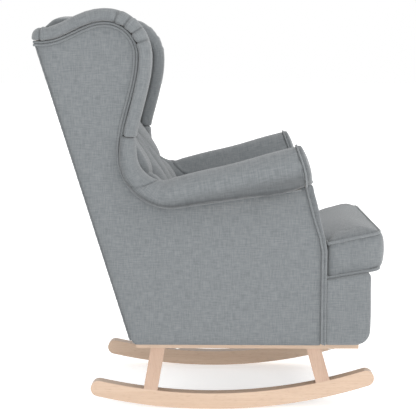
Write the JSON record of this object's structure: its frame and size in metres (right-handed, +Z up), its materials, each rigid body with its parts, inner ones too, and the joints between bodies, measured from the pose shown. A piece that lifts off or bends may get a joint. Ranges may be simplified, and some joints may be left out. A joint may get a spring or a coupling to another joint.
{
  "type": "rocking chair",
  "caption": "Upholstered wing-back rocking armchair with rolled arms, button-tufted back and loose T-shaped seat cushion on a pale wooden rocking base.",
  "frame": {"origin": "middle of the chair's bounding box in plan, on the floor: the rockers' lowest line is at z = 0", "axes": "+X to the sitter's left, -Y to the front (the way the sitter faces), +Z up"},
  "size_m": [0.7116, 0.8476, 0.9938],
  "materials": {
    "rocker_wood": "clear satin lacquer on pale straight-grained hardwood",
    "dowel_wood": "bare fluted beech",
    "steel": "zinc-plated",
    "frame_pine": "bare planed softwood",
    "plywood": "bare plywood",
    "black_felt": "matt non-woven cloth",
    "deck_felt": "plain cotton over wadding",
    "foam": "open-cell foam and wadding",
    "upholstery": "matt plain weave, blue-grey linen look",
    "piping": "bias-cut cover cloth over cord",
    "zip_tape": "woven nylon coil zip"
  },
  "bodies": {
    "chair": {"rocker_left": "rocker_wood", "rocker_right": "rocker_wood", "rear_leg_left": "rocker_wood", "rear_leg_right": "rocker_wood", "front_leg_left": "rocker_wood", "front_leg_right": "rocker_wood", "mounting_rail_left": "rocker_wood", "mounting_rail_right": "rocker_wood", "leg_dowels": "dowel_wood", "base_bolts": "steel", "base_washers": "steel", "tee_nuts": "steel", "seat_springs": "steel", "spring_clips": "steel", "seat_side_rail_left": "frame_pine", "seat_side_rail_right": "frame_pine", "seat_front_rail": "frame_pine", "seat_back_rail": "frame_pine", "corner_blocks": "frame_pine", "arm_board_left": "frame_pine", "arm_board_right": "frame_pine", "back_post_left": "frame_pine", "back_post_right": "frame_pine", "back_top_rail": "frame_pine", "back_bottom_rail": "frame_pine", "arm_frame_left": "plywood", "arm_frame_right": "plywood", "wing_frame_left": "plywood", "wing_frame_right": "plywood", "dust_cover": "black_felt", "back_webbing": "black_felt", "deck_pad": "deck_felt", "arm_pad_left": "foam", "arm_pad_right": "foam", "wing_pad_left": "foam", "wing_pad_right": "foam", "back_pad": "foam", "side_cover_left": "upholstery", "side_cover_right": "upholstery", "back_cover": "upholstery", "wing_roll_left": "upholstery", "wing_roll_right": "upholstery", "arm_roll_left": "upholstery", "arm_roll_right": "upholstery", "arm_facing_left": "upholstery", "arm_facing_right": "upholstery", "crest_roll": "upholstery", "front_border": "upholstery", "back_buttons": "upholstery", "side_welt_left": "piping", "side_welt_right": "piping", "facing_welt_left": "piping", "facing_welt_right": "piping"},
    "seat_cushion": {"cushion_cover": "upholstery", "cushion_foam": "foam", "cushion_zip": "zip_tape", "cushion_welts": "piping"}
  },
  "joints": [
    {"name": "cushion_lift_out", "type": "slide", "parent": "chair", "child": "seat_cushion", "axis": [0, -0.9857, 0.1685], "range_m": [0, 0.52]}
  ]
}
